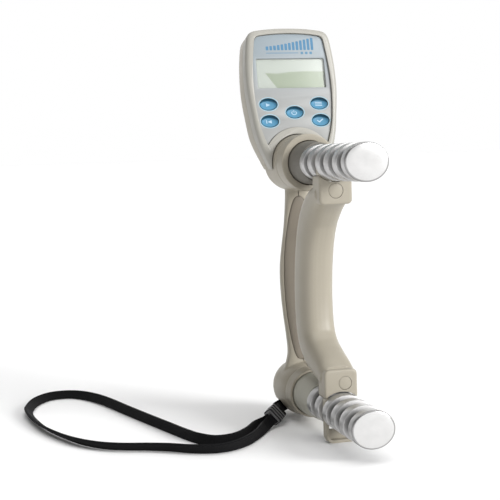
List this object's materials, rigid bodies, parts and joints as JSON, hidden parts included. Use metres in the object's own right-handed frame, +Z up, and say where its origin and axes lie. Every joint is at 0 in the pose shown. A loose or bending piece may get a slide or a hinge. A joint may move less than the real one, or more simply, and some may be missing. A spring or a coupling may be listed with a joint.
{
  "type": "hand dynamometer",
  "caption": "Hand grip dynamometer: leaning display head and fixed handle on two grooved posts, hooked adjustable handle, wrist strap.",
  "frame": {"origin": "on the floor under the middle of the instrument's bounding box, strap left out", "axes": "+Z up along the handles, posts point along -Y towards the front, +X to the right of someone facing the display"},
  "size_m": [0.1765, 0.215, 0.2189],
  "materials": {
    "shell_plastic_light": "light warm grey moulded plastic, fine texture",
    "shell_plastic": "warm grey moulded plastic, fine texture",
    "face_label": "satin printed overlay",
    "screen_window": "clear window",
    "screen_panel": "grey-green liquid crystal panel",
    "key_plastic": "satin moulded keys",
    "board": "solder mask",
    "chip_plastic": "moulded epoxy",
    "cell_jacket": "shrink sleeve",
    "screw_steel": "plated steel",
    "post_metal": "turned and satin polished",
    "beam_alloy": "milled",
    "gauge_foil": "polyimide foil",
    "sleeve_rubber": "matte",
    "strap_webbing": "woven nylon",
    "slider_plastic": "ribbed"
  },
  "bodies": {
    "body": {"head_front_cover": "shell_plastic_light", "upper_collar": "shell_plastic_light", "lower_collar": "shell_plastic_light", "head_rear_cover": "shell_plastic", "handle_shell_left": "shell_plastic", "handle_shell_right": "shell_plastic", "handle_front_pad": "shell_plastic", "faceplate": "face_label", "display_window": "screen_window", "display_panel": "screen_panel", "main_circuit_board": "board", "controller_chip": "chip_plastic", "switch_test": "chip_plastic", "switch_mode": "chip_plastic", "switch_power": "chip_plastic", "switch_reset": "chip_plastic", "switch_enter": "chip_plastic", "battery_cell_upper": "cell_jacket", "battery_cell_lower": "cell_jacket", "battery_contact_left": "screw_steel", "battery_contact_right": "screw_steel", "cover_screw_1": "screw_steel", "cover_screw_2": "screw_steel", "cover_screw_3": "screw_steel", "cover_screw_4": "screw_steel", "handle_screw_1": "screw_steel", "handle_screw_2": "screw_steel", "handle_screw_3": "screw_steel", "handle_screw_4": "screw_steel", "upper_post_bolt": "screw_steel", "lower_post_bolt": "screw_steel", "upper_post": "post_metal", "lower_post": "post_metal", "load_cell_beam": "beam_alloy", "strain_gauge_upper": "gauge_foil", "strain_gauge_lower": "gauge_foil", "upper_post_sleeve": "sleeve_rubber", "lower_post_sleeve": "sleeve_rubber", "wrist_strap": "strap_webbing", "strap_leg_back": "strap_webbing", "strap_leg_front": "strap_webbing", "strap_slider": "slider_plastic"},
    "adjustable": {"adjustable_handle": "shell_plastic", "upper_hook_pin": "shell_plastic", "lower_hook_pin": "shell_plastic", "handle_fork": "shell_plastic", "handle_clip": "shell_plastic"},
    "test_key": {"key_test": "key_plastic"},
    "mode_key": {"key_mode": "key_plastic"},
    "power_key": {"key_power": "key_plastic"},
    "reset_key": {"key_reset": "key_plastic"},
    "enter_key": {"key_enter": "key_plastic"},
    "door": {"battery_door": "shell_plastic"}
  },
  "joints": [
    {"name": "handle_position", "type": "slide", "parent": "body", "child": "adjustable", "axis": [0, -1, 0], "range_m": [-0.0127, 0.0381], "deforming": ["handle_fork", "handle_clip"]},
    {"name": "test_key_press", "type": "slide", "parent": "body", "child": "test_key", "axis": [0, 0.9796, -0.2011], "range_m": [0, 0.0009], "stiffness_N_per_m": 600},
    {"name": "mode_key_press", "type": "slide", "parent": "body", "child": "mode_key", "axis": [0, 0.9796, -0.2011], "range_m": [0, 0.0009], "stiffness_N_per_m": 600},
    {"name": "power_key_press", "type": "slide", "parent": "body", "child": "power_key", "axis": [0, 0.9796, -0.2011], "range_m": [0, 0.0009], "stiffness_N_per_m": 600},
    {"name": "reset_key_press", "type": "slide", "parent": "body", "child": "reset_key", "axis": [0, 0.9796, -0.2011], "range_m": [0, 0.0009], "stiffness_N_per_m": 600},
    {"name": "enter_key_press", "type": "slide", "parent": "body", "child": "enter_key", "axis": [0, 0.9796, -0.2011], "range_m": [0, 0.0009], "stiffness_N_per_m": 600},
    {"name": "battery_door_hinge", "type": "hinge", "parent": "body", "child": "door", "pos_m": [0, 0.06266, 0.17012], "axis": [-1, 0, 0], "range_deg": [0, 100]}
  ]
}
